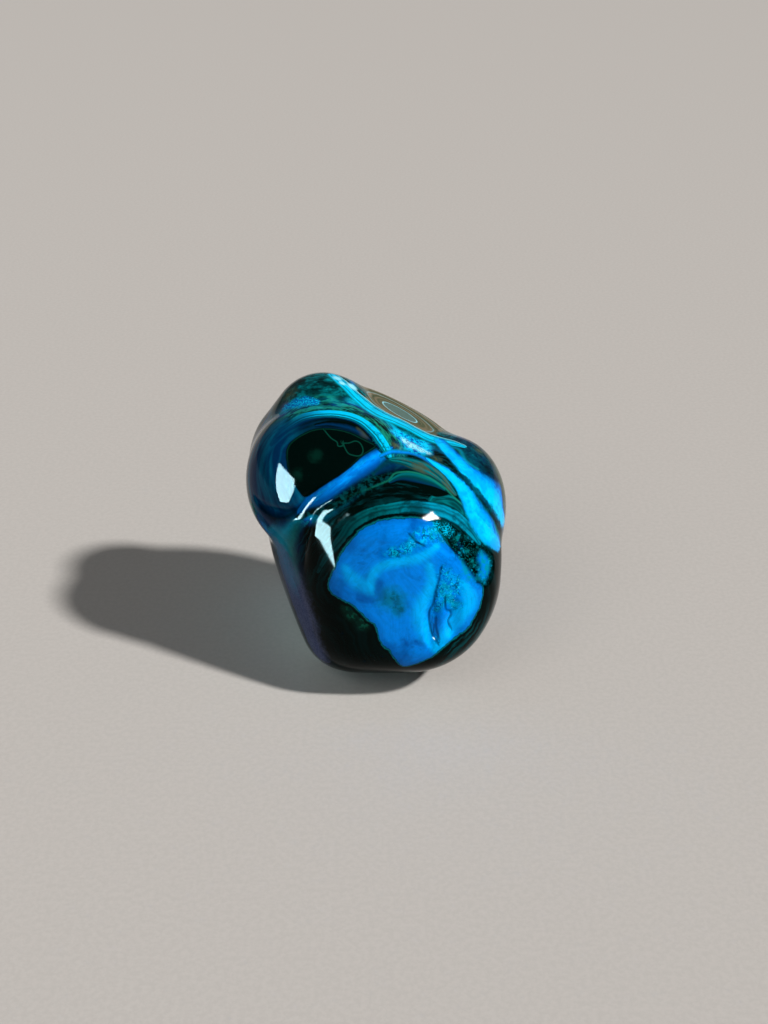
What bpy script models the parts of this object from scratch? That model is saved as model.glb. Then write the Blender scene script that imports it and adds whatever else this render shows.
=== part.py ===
"""Polished malachite and chrysocolla freeform: one solid stone on a flat ground base.

Metres, +Z up, origin at the middle of the base. The body is a union of rounded lobes, ground
by flat facets, blended together, with two creases at its left. Its skin is a cube grid whose
points are pushed out from a heart point inside the stone until they meet the blended surface.
"""
import math

import bmesh
import bpy
import numpy as np

# Sizes are in millimetres up to the last step, which writes metres.
MM = 0.001
CELLS = 28                          # grid cells along one side of the starting cube
HEART = (0.0, 2.0, 29.0)            # point inside the stone that the skin is pushed out from
REACH = 60.0                        # longest push
STEP = 1.0                          # first search step along a push
HALVINGS = 22                       # halvings that settle the skin after the search
MIDDLE = (0.02, 0.81)               # middle of the body's box in the lobes' own x and y
SHORTEST_EDGE = 0.12                # shorter edges by the base cut are merged
BASE_CREASE = 25.0                  # degrees between faces above which an edge is shown sharp

# A lobe is its middle, its three half sizes, its lean about +Y in degrees and its squareness,
# where 2 is an ellipsoid and more is boxier.
CORE = ((-1.0, 7.0, 23.5), (23.5, 18.5, 28.5), -8.0, 2.3)
FRONT = ((1.8, -4.0, 26.5), (25.6, 24.0, 28.0), 0.0, 2.7)
HEEL = ((-9.5, 17.0, 19.0), (13.0, 9.5, 15.5), -12.0, 2.0)
HIP = ((11.5, 15.0, 22.0), (13.0, 12.0, 15.0), 10.0, 2.0)
EYE = ((-10.3, 1.5, 42.5), (18.2, 18.0, 17.0), 0.0, 2.1)
LEFT_BACK = ((-17.0, 13.0, 40.0), (12.0, 14.0, 16.0), 0.0, 2.0)
CROWN = ((1.1, 13.6, 45.1), (17.6, 11.8, 13.5), 27.0, 2.1)
BROW = ((-12.0, 12.7, 50.3), (11.5, 13.0, 11.5), 0.0, 2.0)
RIGHT = ((16.5, 6.0, 34.0), (12.5, 16.0, 15.0), 0.0, 2.0)

# A facet is a point on it, the way it faces, and how wide its rim is rounded.
FRONT_FACETS = (
    ((7.0, -25.0, 24.0), (0.20, -0.96, 0.19), 4.0),     # big front face
    ((-14.5, -18.5, 36.0), (-0.25, -0.93, 0.20), 6.0),  # left cheek
    ((9.0, -16.3, 45.6), (0.22, -0.50, 0.84), 5.0),     # slope above the face
    ((-7.0, -12.8, 48.0), (-0.20, -0.50, 0.84), 4.0),   # shoulder below the eye
    ((3.0, -4.0, 51.5), (0.05, 0.35, 0.93), 5.0),       # step down to the crown
    ((22.8, -12.0, 38.1), (0.65, -0.45, 0.61), 5.0),    # shoulder by the right lobe
)
LOW_FACETS = (
    ((-15.4, -17.6, 31.7), (-0.82, -0.57, -0.04), 5.0),  # left flank
    ((-23.9, 2.0, 19.7), (-0.93, -0.17, -0.32), 6.0),    # taper at the lower left
    ((2.0, -14.0, 0.7), (0.0, -0.50, -0.866), 8.0),      # undercut below the front face
    ((24.0, -4.0, 7.0), (0.72, -0.20, -0.67), 8.0),      # taper at the lower right
)
EYE_FACET = ((-8.0, -9.8, 51.8), (0.10, -0.68, 0.73), 4.0)
DISC_FACET = ((5.2, 14.3, 52.7), (0.47, 0.08, 0.879), 1.6)

# Blend widths where one lobe runs into the next.
FRONT_BLEND = 6.0
BACK_BLEND = 3.5
SIDE_BLEND = 2.5
RIGHT_BLEND = 3.0
TOP_BLEND = 2.0

# A pit is its middle, its half sizes and its lean about +Y. They are the open crystal
# hollows in the front face.
PITS = (
    ((11.7, -24.5, 25.0), (1.7, 1.6, 9.0), 2.0),
    ((16.6, -23.8, 22.5), (1.8, 1.5, 5.0), 4.0),
    ((15.0, -20.4, 38.0), (3.0, 1.5, 1.6), 24.0),
)
PIT_RIM = 1.0                       # rounding around a pit

# A crease is how far it reaches to each side, and its points just under the skin, each with
# the depth of the crease there.
CREASES = (
    (2.7, (
        (-26.6, -7.0, 42.4, 0.0), (-23.8, -10.2, 41.8, 0.7), (-21.2, -12.2, 41.9, 1.1),
        (-18.7, -13.7, 42.5, 1.1), (-16.6, -14.6, 43.6, 1.0), (-14.9, -14.4, 45.6, 0.9),
        (-12.9, -13.8, 47.2, 0.6), (-10.2, -13.0, 48.8, 0.0),
    )),
    (2.5, (
        (-6.2, -14.4, 47.4, 0.0), (-9.5, -15.2, 45.8, 0.5), (-11.8, -15.6, 44.4, 0.8),
        (-13.3, -16.0, 42.7, 0.9), (-14.1, -16.2, 40.1, 0.9), (-14.8, -16.1, 35.9, 0.7),
        (-15.2, -16.3, 32.3, 0.4), (-15.6, -16.5, 28.6, 0.0),
    )),
)

STONE_COLOUR = (0.004, 0.118, 0.205, 1.0)
STONE_ROUGHNESS = 0.07
STONE_INDEX = 1.65


def unit(vector):
    """Return a vector at length one."""
    vector = np.asarray(vector, float)
    return vector / np.linalg.norm(vector)


def leaned(points, degrees):
    """Turn points back about +Y, so that a shape tested with them leans by degrees."""
    angle = math.radians(degrees)
    c = math.cos(angle)
    s = math.sin(angle)
    x = points[:, 0] * c - points[:, 2] * s
    z = points[:, 0] * s + points[:, 2] * c
    return np.stack([x, points[:, 1], z], axis=1)


def lump(points, middle, halves, lean=0.0, square=2.0):
    """Distance, close to true near zero, from points to a superellipsoid."""
    halves = np.asarray(halves, float)
    local = leaned(points - np.asarray(middle, float), lean)
    share = np.abs(local) / halves + 1e-9
    size = (share ** square).sum(axis=1) ** (1.0 / square)
    slope = np.linalg.norm(share ** (square - 1.0) / halves, axis=1) * size ** (1.0 - square)
    return (size - 1.0) / slope


def facet(points, place, facing):
    """Distance from points to a plane, positive on the side it faces."""
    return (points - np.asarray(place, float)) @ unit(facing)


def join(a, b, width):
    """Union of two bodies with a blend of the given width."""
    blend = np.maximum(width - np.abs(a - b), 0.0) / width
    return np.minimum(a, b) - blend * blend * width * 0.25


def grind(a, b, width):
    """Part of a body inside another one, with a rounded rim."""
    return -join(-a, -b, width)


def smooth_path(marks, between=4):
    """Return marks with extra ones between them on a Catmull-Rom curve."""
    marks = np.asarray(marks, float)
    last = len(marks) - 1
    path = []
    for i in range(last):
        a, b, c, d = (marks[min(max(i + k, 0), last)] for k in (-1, 0, 1, 2))
        for t in np.arange(between) / between:
            path.append(
                0.5 * (2 * b + (c - a) * t + (2 * a - 5 * b + 4 * c - d) * t ** 2
                       + (3 * b - a - 3 * c + d) * t ** 3)
            )
    path.append(marks[-1])
    return np.array(path)


def creased(points, body):
    """Press the creases into a body."""
    body = body.copy()
    for reach, marks in CREASES:
        path = smooth_path(marks)
        low = path[:, :3].min(axis=0) - reach
        high = path[:, :3].max(axis=0) + reach
        rows = np.flatnonzero(((points > low) & (points < high)).all(axis=1))
        near = points[rows]
        nearest = np.full(len(rows), reach)
        depth = np.zeros(len(rows))
        for start, end in zip(path[:-1], path[1:]):
            step = end - start
            along = step[:3]
            share = np.clip((near - start[:3]) @ along / (along @ along), 0.0, 1.0)
            away = np.linalg.norm(near - start[:3] - share[:, None] * along, axis=1)
            closer = away < nearest
            nearest[closer] = away[closer]
            depth[closer] = start[3] + share[closer] * step[3]
        body[rows] += depth * (1.0 - nearest / reach) ** 2
    return body


def stone(points):
    """Distance from points, in the lobes' own frame, to the skin of the whole stone."""
    front = lump(points, *FRONT)
    for place, facing, rim in FRONT_FACETS:
        front = grind(front, facet(points, place, facing), rim)
    body = join(lump(points, *CORE), front, FRONT_BLEND)
    for place, facing, rim in LOW_FACETS:
        body = grind(body, facet(points, place, facing), rim)
    body = join(body, lump(points, *HEEL), BACK_BLEND)
    body = join(body, lump(points, *HIP), BACK_BLEND)
    eye_place, eye_facing, eye_rim = EYE_FACET
    eye = grind(lump(points, *EYE), facet(points, eye_place, eye_facing), eye_rim)
    body = join(body, eye, TOP_BLEND)
    body = join(body, lump(points, *LEFT_BACK), SIDE_BLEND)
    body = join(body, lump(points, *CROWN), TOP_BLEND)
    disc_place, disc_facing, disc_rim = DISC_FACET
    body = grind(body, facet(points, disc_place, disc_facing), disc_rim)
    body = join(body, lump(points, *BROW), TOP_BLEND)
    body = join(body, lump(points, *RIGHT), RIGHT_BLEND)
    for middle, halves, lean in PITS:
        body = grind(body, -lump(points, middle, halves, lean), PIT_RIM)
    return creased(points, body)


def cube_grid(cells):
    """Return unit directions over a cube's surface and the quads between them."""
    number_of = {}
    directions = []
    quads = []

    def corner(index):
        if index not in number_of:
            number_of[index] = len(directions)
            directions.append([math.tan((2.0 * i / cells - 1.0) * math.pi / 4.0) for i in index])
        return number_of[index]

    for axis in range(3):
        for side in (0, cells):
            for i in range(cells):
                for j in range(cells):
                    loop = []
                    for a, b in ((i, j), (i + 1, j), (i + 1, j + 1), (i, j + 1)):
                        index = [0, 0, 0]
                        index[axis] = side
                        index[(axis + 1) % 3] = a
                        index[(axis + 2) % 3] = b
                        loop.append(corner(tuple(index)))
                    quads.append(loop if side else loop[::-1])
    directions = np.array(directions)
    return directions / np.linalg.norm(directions, axis=1, keepdims=True), quads


def pushed_out(directions):
    """Return where rays from the heart meet the skin."""
    heart = np.array(HEART)
    near = np.zeros(len(directions))
    looking = np.ones(len(directions), bool)
    for step in np.arange(STEP, REACH, STEP):
        rows = np.flatnonzero(looking)
        inside = stone(heart + directions[rows] * step) < 0.0
        near[rows[inside]] = step
        looking[rows[~inside]] = False
    far = near + STEP
    for _ in range(HALVINGS):
        half = 0.5 * (near + far)
        inside = stone(heart + directions * half[:, None]) < 0.0
        near = np.where(inside, half, near)
        far = np.where(inside, far, half)
    return heart + directions * near[:, None]


def ground_base(mesh):
    """Cut the body flat at z = 0 and close the cut with one face."""
    body = bmesh.new()
    body.from_mesh(mesh)
    everything = body.verts[:] + body.edges[:] + body.faces[:]
    bmesh.ops.bisect_plane(
        body,
        geom=everything,
        dist=SHORTEST_EDGE * MM,
        plane_co=(0.0, 0.0, 0.0),
        plane_no=(0.0, 0.0, 1.0),
        clear_inner=True,
    )
    rim = [edge for edge in body.edges if edge.is_boundary]
    rim_points = list({vertex for edge in rim for vertex in edge.verts})
    for vertex in rim_points:
        vertex.co.z = 0.0
    bmesh.ops.remove_doubles(body, verts=rim_points, dist=SHORTEST_EDGE * MM)
    rim = [edge for edge in body.edges if edge.is_boundary]
    bmesh.ops.edgeloop_fill(body, edges=rim)
    bmesh.ops.recalc_face_normals(body, faces=body.faces[:])
    body.to_mesh(mesh)
    body.free()


def stone_material():
    """Deep blue-green polished stone."""
    material = bpy.data.materials.new("malachite_chrysocolla")
    material.use_nodes = True
    shader = material.node_tree.nodes["Principled BSDF"]
    shader.inputs["Base Color"].default_value = STONE_COLOUR
    shader.inputs["Roughness"].default_value = STONE_ROUGHNESS
    shader.inputs["IOR"].default_value = STONE_INDEX
    material.diffuse_color = STONE_COLOUR
    return material


def polished_stone():
    """Build the stone and put it in the scene."""
    directions, quads = cube_grid(CELLS)
    points = pushed_out(directions)
    points[:, 0] -= MIDDLE[0]
    points[:, 1] -= MIDDLE[1]
    mesh = bpy.data.meshes.new("polished_stone")
    mesh.from_pydata((points * MM).tolist(), [], quads)
    ground_base(mesh)
    mesh.materials.append(stone_material())
    mesh.shade_smooth()
    mesh.set_sharp_from_angle(angle=math.radians(BASE_CREASE))
    body = bpy.data.objects.new("polished_stone", mesh)
    bpy.context.scene.collection.objects.link(body)


for leftover in list(bpy.data.objects):
    bpy.data.objects.remove(leftover, do_unlink=True)
polished_stone()
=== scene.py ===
"""Polished malachite and chrysocolla freeform: the fine stone, its markings and the studio.

The stone is the blended body of the frame's solid at a finer grid, with the small relief of its
crystal crust. Its markings are distances, in millimetres over the stone, from named bands,
outlines and cracks. They are written to the mesh as attributes and coloured in the material.
"""
import math

import bmesh
import bpy
import numpy as np
from bpy.props import FloatProperty, FloatVectorProperty, IntProperty, PointerProperty
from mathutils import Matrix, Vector, noise
from mathutils.bvhtree import BVHTree


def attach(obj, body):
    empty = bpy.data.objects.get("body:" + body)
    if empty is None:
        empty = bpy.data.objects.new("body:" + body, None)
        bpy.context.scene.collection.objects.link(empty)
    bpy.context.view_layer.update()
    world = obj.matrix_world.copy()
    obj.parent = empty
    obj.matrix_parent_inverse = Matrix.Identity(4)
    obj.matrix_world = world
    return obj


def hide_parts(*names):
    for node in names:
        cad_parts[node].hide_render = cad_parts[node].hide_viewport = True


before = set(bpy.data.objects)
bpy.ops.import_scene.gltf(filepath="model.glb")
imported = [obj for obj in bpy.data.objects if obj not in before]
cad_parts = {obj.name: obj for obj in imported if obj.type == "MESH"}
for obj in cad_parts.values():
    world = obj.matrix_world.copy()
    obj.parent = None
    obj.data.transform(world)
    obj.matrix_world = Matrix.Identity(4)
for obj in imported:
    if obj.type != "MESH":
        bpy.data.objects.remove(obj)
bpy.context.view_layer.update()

bl_info = {
    "name": "Polished Malachite and Chrysocolla",
    "version": (1, 0, 0),
    "blender": (4, 5, 0),
    "location": "View3D > Sidebar > Stone",
    "description": "A polished freeform of banded malachite and chrysocolla",
    "category": "Object",
}

MM = 0.001
NODE = "polished_stone"
SLOT = "malachite_chrysocolla"
BODY = "root"

# Form of the stone, in millimetres in the lobes' own frame.
HEART = (0.0, 2.0, 29.0)            # point inside the stone that the skin is pushed out from
REACH = 60.0                        # longest push
STEP = 1.0                          # first search step along a push
HALVINGS = 22                       # halvings that settle the skin after the search
MIDDLE = (0.02, 0.81)               # middle of the body's box in the lobes' own x and y
SHORTEST_EDGE = 0.05                # shorter edges by the base cut are merged
BASE_CREASE = 25.0                  # degrees above which the base edge is shown sharp
GRID_LEAN = 0.30                    # how far the grid is gathered towards the marked side

# A lobe is its middle, its three half sizes, its lean about +Y in degrees and its squareness.
LOBES = {
    "core": ((-1.0, 7.0, 23.5), (23.5, 18.5, 28.5), -8.0, 2.3),
    "front": ((1.8, -4.0, 26.5), (25.6, 24.0, 28.0), 0.0, 2.7),
    "heel": ((-9.5, 17.0, 19.0), (13.0, 9.5, 15.5), -12.0, 2.0),
    "hip": ((11.5, 15.0, 22.0), (13.0, 12.0, 15.0), 10.0, 2.0),
    "eye": ((-10.3, 1.5, 42.5), (18.2, 18.0, 17.0), 0.0, 2.1),
    "left_back": ((-17.0, 13.0, 40.0), (12.0, 14.0, 16.0), 0.0, 2.0),
    "crown": ((1.1, 13.6, 45.1), (17.6, 11.8, 13.5), 27.0, 2.1),
    "brow": ((-12.0, 12.7, 50.3), (11.5, 13.0, 11.5), 0.0, 2.0),
    "right": ((16.5, 6.0, 34.0), (12.5, 16.0, 15.0), 0.0, 2.0),
}

# A facet is a point on it, the way it faces, and how wide its rim is rounded.
FRONT_FACETS = (
    ((7.0, -25.0, 24.0), (0.20, -0.96, 0.19), 4.0),
    ((-14.5, -18.5, 36.0), (-0.25, -0.93, 0.20), 6.0),
    ((9.0, -16.3, 45.6), (0.22, -0.50, 0.84), 5.0),
    ((-7.0, -12.8, 48.0), (-0.20, -0.50, 0.84), 4.0),
    ((3.0, -4.0, 51.5), (0.05, 0.35, 0.93), 5.0),
    ((22.8, -12.0, 38.1), (0.65, -0.45, 0.61), 5.0),
)
LOW_FACETS = (
    ((-15.4, -17.6, 31.7), (-0.82, -0.57, -0.04), 5.0),
    ((-23.9, 2.0, 19.7), (-0.93, -0.17, -0.32), 6.0),
    ((2.0, -14.0, 0.7), (0.0, -0.50, -0.866), 8.0),
    ((24.0, -4.0, 7.0), (0.72, -0.20, -0.67), 8.0),
)
EYE_FACET = ((-8.0, -9.8, 51.8), (0.10, -0.68, 0.73), 4.0)
DISC_FACET = ((5.2, 14.3, 52.7), (0.47, 0.08, 0.879), 1.6)
FRONT_BLEND = 6.0
BACK_BLEND = 3.5
SIDE_BLEND = 2.5
RIGHT_BLEND = 3.0
TOP_BLEND = 2.0
PITS = (
    ((11.7, -24.5, 25.0), (1.7, 1.6, 9.0), 2.0),
    ((16.6, -23.8, 22.5), (1.8, 1.5, 5.0), 4.0),
    ((15.0, -20.4, 38.0), (3.0, 1.5, 1.6), 24.0),
)
PIT_RIM = 1.0

# A crease is how far it reaches to each side, and its points just under the skin, each with
# the depth of the crease there.
CREASES = (
    (2.7, (
        (-26.6, -7.0, 42.4, 0.0), (-23.8, -10.2, 41.8, 0.7), (-21.2, -12.2, 41.9, 1.1),
        (-18.7, -13.7, 42.5, 1.1), (-16.6, -14.6, 43.6, 1.0), (-14.9, -14.4, 45.6, 0.9),
        (-12.9, -13.8, 47.2, 0.6), (-10.2, -13.0, 48.8, 0.0),
    )),
    (2.5, (
        (-6.2, -14.4, 47.4, 0.0), (-9.5, -15.2, 45.8, 0.5), (-11.8, -15.6, 44.4, 0.8),
        (-13.3, -16.0, 42.7, 0.9), (-14.1, -16.2, 40.1, 0.9), (-14.8, -16.1, 35.9, 0.7),
        (-15.2, -16.3, 32.3, 0.4), (-15.6, -16.5, 28.6, 0.0),
    )),
)

# Camera, in the lobes' frame. Marks below are in pixels of its 768 x 1024 view.
PHOTO = (768, 1024)
AIM = (1.656, 0.0, 35.0)            # point at the middle of the view
DISTANCE = 314.0
ELEVATION = 28.0
LENS = 50.0
SENSOR = 36.0
STRETCH = 3.5                       # widest a band grows where the skin turns away

# Closed outlines of the markings.
OUTLINES = {
    "blue_face": (
        (329, 585), (336, 565), (348, 545), (360, 531), (372, 524), (385, 520), (410, 518),
        (432, 522), (441, 534), (452, 548), (460, 553), (465, 564), (473, 579), (481, 584),
        (482, 597), (478, 611), (468, 627), (453, 639), (441, 649), (429, 658), (417, 663),
        (405, 666), (398, 662), (388, 649), (381, 641), (376, 626), (368, 619), (353, 604),
        (345, 601), (331, 592),
    ),
    "eye": (
        (286, 456), (288, 446), (297, 437), (311, 430), (325, 428), (338, 429), (350, 432),
        (362, 438), (376, 445), (374, 449), (362, 457), (352, 466), (340, 475), (320, 488),
        (306, 497), (300, 493), (293, 482), (288, 470),
    ),
    "crystals": (
        (448, 533), (462, 533), (476, 541), (488, 550), (493, 562), (490, 580), (482, 585),
        (474, 580), (464, 566), (455, 556), (448, 547), (446, 539),
    ),
    "crackle": (
        (390, 431), (400, 431), (415, 438), (428, 443), (432, 453), (420, 455), (409, 451),
        (402, 443),
    ),
    "lens": (
        (395, 481), (407, 482), (418, 483), (428, 485), (438, 488), (449, 494), (437, 497),
        (431, 495), (425, 491), (417, 487), (407, 484),
    ),
    "slate": (
        (431, 496), (449, 495), (460, 502), (465, 510), (466, 519), (454, 512), (443, 508),
        (430, 506),
    ),
    "side_patch": (
        (481, 552), (487, 556), (490, 565), (489, 575), (484, 580), (479, 575), (480, 566),
        (478, 559),
    ),
    "shard": (
        (461, 561), (465, 565), (470, 572), (475, 580), (468, 579), (463, 573),
    ),
    "druse_bed": (
        (441, 567), (451, 569), (460, 578), (462, 590), (457, 599), (464, 606), (452, 610),
        (446, 606), (440, 614), (433, 613), (434, 600), (438, 584),
    ),
    "druse_arc": (
        (382, 553), (392, 547), (404, 545), (409, 535), (420, 528), (432, 524), (444, 523),
        (453, 527), (454, 537), (446, 545), (436, 542), (426, 546), (414, 550), (400, 556),
        (388, 558),
    ),
}

# Bands from end to end: pixel across, pixel down, half width in pixels.
BANDS = {
    "eye_arc": (
        (272, 444, 2), (280, 434, 4), (290, 426, 4.8), (302, 419, 5), (317, 415.5, 4.8),
        (335, 415, 4.8), (351, 418, 5), (363, 424, 5.5), (373, 433, 6), (380, 442, 6.5),
        (385, 450, 6), (388, 456, 3),
    ),
    "crescent": (
        (316, 425, 1.5), (330, 423, 3), (345, 425, 4.5), (357, 429, 5.5), (367, 434, 5),
        (375, 441, 2.5),
    ),
    "azure": (
        (300, 511, 3), (308, 503, 6), (320, 497, 8), (335, 487, 8.5), (348, 478, 9),
        (360, 469, 10.5), (371, 462, 10), (381, 455, 8.5), (390, 449, 4),
    ),
    "teal": (
        (318, 572, 1.5), (326, 558, 3), (335, 547, 4.5), (344, 537, 6), (352, 526, 7),
        (363, 518, 7), (377, 512, 6.5), (393, 509, 6.5), (411, 507, 7), (430, 509, 7),
        (446, 513, 7), (459, 520, 6.5), (470, 531, 5), (479, 543, 2),
    ),
    "streak_low": (
        (428, 459, 1), (437, 465, 3), (450, 474, 5), (460, 484, 7), (467, 494, 8.5),
        (473, 507, 10), (478, 517, 11), (484, 527, 11.5), (491, 536, 9), (497, 543, 4),
    ),
    "streak_high": (
        (440, 441, 3), (450, 452, 4.5), (460, 462, 5.5), (469, 472, 7.5), (478, 481, 9.5),
        (487, 490, 10.5), (495, 500, 9.5), (500, 509, 7), (504, 517, 3),
    ),
    "blotches": (
        (446, 463, 2), (457, 473, 3), (466, 480, 3.5), (476, 491, 3), (483, 500, 4),
        (492, 513, 3.5), (499, 524, 2),
    ),
    "olive": (
        (392, 460, 2), (403, 461, 4.5), (416, 465, 6), (428, 470, 6), (439, 477, 5.5),
        (448, 486, 3.5), (455, 494, 1.5),
    ),
    "thin_blue": (
        (381, 456, 2), (390, 452, 2.5), (402, 452, 2), (414, 454, 2), (424, 458, 2.2),
        (434, 464, 3),
    ),
    "wedge": (
        (376, 474, 2), (384, 469, 6), (392, 466, 7), (401, 466, 5), (410, 467, 2),
    ),
    "cap": (
        (390, 482, 1), (400, 477, 3), (411, 477, 4), (423, 480, 4), (434, 484, 3),
        (444, 490, 1),
    ),
    "disc_band": (
        (333, 375, 2), (340, 381, 3.5), (347, 387, 4), (354, 394, 4.5), (362, 401, 5),
        (372, 409, 5), (383, 415, 4.5), (394, 420, 3.8), (405, 425, 3.8), (416, 431, 3.8),
        (428, 437, 4), (440, 441, 4), (452, 443, 3), (463, 446, 1.5),
    ),
    "light_arc": (
        (370, 586, 4), (372, 575, 5), (381, 566, 5), (399, 561, 5), (417, 558, 6), (429, 552, 5),
        (437, 545, 3),
    ),
    "light_left": (
        (346, 568, 4), (352, 576, 7), (361, 583, 8), (370, 590, 5),
    ),
    "light_right": (
        (430, 566, 4), (433, 584, 6), (424, 603, 8), (421, 616, 8), (427, 630, 8), (433, 641, 7),
        (436, 649, 4),
    ),
    "light_lobe": (
        (463, 583, 4), (469, 592, 8), (470, 603, 9), (461, 615, 9), (449, 631, 8), (441, 645, 5),
    ),
    "flank_teal": (
        (303, 512, 3), (293, 524, 10), (286, 540, 14), (286, 556, 13), (292, 575, 8),
    ),
    "crease": (
        (256, 500, 2), (265, 509, 3), (280, 514, 4), (293, 511, 3), (303, 501, 2.2),
        (313, 492, 2.2), (324, 484, 1.5),
    ),
    # Painted reflection: the floor mirrored in the lower left flank.
    "flank_violet": (
        (282, 552, 4), (289, 575, 8), (297, 600, 9), (306, 628, 9), (316, 652, 5),
    ),
    # Painted shade: the hollow under the eye lobe, darkened along the crease.
    "hollow": (
        (262, 508, 4), (272, 517, 7), (284, 518, 7), (295, 511, 5), (302, 506, 2),
    ),
    "brow_blue": (
        (286, 407, 2), (296, 403, 4.5), (306, 401, 4.5), (316, 402, 2.5),
    ),
    "right_green": (
        (452, 447, 1), (460, 450, 1.6), (464, 458, 1.6), (470, 464, 1.5), (478, 469, 1),
    ),
}

# Soft spots: pixel across, pixel down, radius in pixels.
SPOTS = {
    "browns": (
        (396, 446, 5), (288, 395, 9), (438, 459, 5), (428, 465, 5), (479, 451, 5), (488, 456, 4),
    ),
    "inks": (
        (314, 392, 8), (341, 399, 6), (326, 404, 5), (488, 470, 8), (495, 480, 7), (388, 492, 9),
        (408, 494, 9), (369, 500, 9), (355, 512, 7),
    ),
    "heart": ((393, 599, 11), (398, 608, 8)),
    "ember": ((367, 431, 6), (360, 428, 3)),
    "dusk": ((340, 588, 12), (402, 656, 9), (352, 546, 6), (416, 526, 7)),
    "matt": ((447, 551, 11), (437, 646, 7)),
    "pales": ((337, 378, 4.5), (342, 383, 3), (356, 381, 5)),
    "sparks": ((405, 441, 4), (413, 446, 5), (421, 450, 4.5), (428, 453, 3)),
    # Painted glints: sparkle of the crystals beside the key highlight.
    "glitter": ((447, 530, 6), (437, 526, 4), (407, 548, 5), (393, 552, 4)),
    "violets": ((283, 407, 7), (276, 412, 5)),
    "moss": ((316, 455, 5), (297, 474, 4), (352, 614, 6), (363, 624, 6), (345, 608, 4)),
}

# Thin lines, that need the side of the line as well as the distance.
LINES = {
    "cracks": (
        ((441, 568), (439, 580), (436, 590), (433, 604), (429, 613), (431, 631), (438, 644)),
        ((436, 618), (436, 627), (439, 640)),
        ((445, 598), (446, 609), (450, 611), (451, 615), (448, 621), (451, 628)),
        ((476, 512), (483, 519), (490, 527)),
        ((409, 534), (415, 541), (424, 546)),
    ),
    "veins": (
        ((325, 431), (331, 438), (337, 442), (338, 446), (342, 446), (343, 444)),
        ((343, 443), (345, 448), (348, 453), (352, 455), (358, 456), (362, 454), (363, 449),
         (360, 443), (355, 441), (349, 443), (343, 443)),
    ),
    "green_edge": (
        ((328, 508), (347, 497), (368, 489), (380, 484), (389, 480), (394, 474), (402, 472),
         (411, 472), (420, 474), (430, 478), (438, 483), (445, 488), (450, 493), (456, 499),
         (462, 504)),
    ),
}

# Rings of the ground disc, about the point of its facet.
BULLSEYE_LONG = 4.4                 # long half size of the inner ring, in millimetres
BULLSEYE_SHORT = 0.62               # its short half size as a share of the long one
LONG_AXIS = (0.866, -0.235, -0.44)
SHORT_AXIS = (0.171, 0.968, -0.18)
OUTER_RINGS = (8.6, 12.5)           # long half sizes of the fainter rings

# Relief of the crystal beds and the cracks, in millimetres.
BED_MARGIN = 0.6                    # how far outside its outline a bed starts to drop
BED_SLOPE = 0.8                     # run over which it drops
BED_DEPTH = 0.06
GRAIN_DENSITY = 1.1                 # crystal grains to a millimetre
GRAIN_LEVEL = 0.35
GRAIN_HEIGHT = 0.16
SWELL_DENSITY = 0.6
SWELL_HEIGHT = 0.08
CRACK_HALF = 0.40
CRACK_DEPTH = 0.28
SPARKLE_DENSITY = 2.6               # finer grains, shown by bump alone
BUMP_REACH = 0.1                    # height that bump stands for
STONE_BUMP = 0.3
FLOOR_BUMP = 0.1

# Noises, each its waves to a millimetre, detail, roughness and distortion.
NOISES = {
    "broad": (0.09, 2.0, 0.5, 0.0),
    "middle": (0.30, 3.0, 0.55, 0.0),
    "fine": (0.95, 3.0, 0.6, 0.0),
    "grit": (3.0, 3.0, 0.7, 0.0),
    "cloud": (0.16, 4.0, 0.6, 0.6),
}
DRAWN_STRETCH = (0.45, 1.0, 1.8)    # the drawn-out noise's share of x, y and z
DRAWN_NOISE = (0.8, 4.0, 0.65, 0.4)
TWIST_DENSITY = 0.9                 # noise that bends the angular grains
TWIST_REACH = 1.6                   # millimetres it bends them
FLOOR_NOISE = (900.0, 4.0, 0.7)     # waves to a metre, detail and roughness
FLOOR_SHADE = 0.94                  # how light the darker fibres are
FLOOR_ROUGHNESS = 0.85
FAR_SHARE = 9.0                     # a band or a spot farther off than this isn't told apart
FAR_AWAY = 1e9
TINY = 1e-12

# Lights and camera. A way points from the stone to a light, and sizes are in metres.
KEY_WAY = (0.68, -0.29, 0.675)
KEY_SPREAD = 4.5                    # degrees
PANEL_WAY = (-0.70, -0.66, 0.28)
PANEL_AWAY = 0.15
PANEL_SIZE = (0.072, 0.168)
PANEL_RISE = 0.0085
PANEL_TINT = (0.55, 0.92, 1.0)
FILL_WAY = (-0.45, -0.62, 0.64)
FILL_AWAY = 3.0
FILL_SIZE = (1.8, 1.8)
GLOW_AWAY = 0.5
GLOW_SIZE = (0.15, 0.06)
ROOM_TINT = (0.9, 0.95, 1.0, 1.0)
ROOM_STRENGTH = 0.13
CLIP_START = 0.01
CLIP_END = 10.0


def unit(vector):
    """Return a vector at length one."""
    vector = np.asarray(vector, float)
    return vector / np.linalg.norm(vector)


def leaned(points, degrees):
    """Turn points back about +Y, so that a shape tested with them leans by degrees."""
    angle = math.radians(degrees)
    c = math.cos(angle)
    s = math.sin(angle)
    x = points[:, 0] * c - points[:, 2] * s
    z = points[:, 0] * s + points[:, 2] * c
    return np.stack([x, points[:, 1], z], axis=1)


def lump(points, middle, halves, lean=0.0, square=2.0):
    """Distance, close to true near zero, from points to a superellipsoid."""
    halves = np.asarray(halves, float)
    local = leaned(points - np.asarray(middle, float), lean)
    share = np.abs(local) / halves + 1e-9
    size = (share ** square).sum(axis=1) ** (1.0 / square)
    slope = np.linalg.norm(share ** (square - 1.0) / halves, axis=1) * size ** (1.0 - square)
    return (size - 1.0) / slope


def facet(points, place, facing):
    """Distance from points to a plane, positive on the side it faces."""
    return (points - np.asarray(place, float)) @ unit(facing)


def join(a, b, width):
    """Union of two bodies with a blend of the given width."""
    blend = np.maximum(width - np.abs(a - b), 0.0) / width
    return np.minimum(a, b) - blend * blend * width * 0.25


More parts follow.
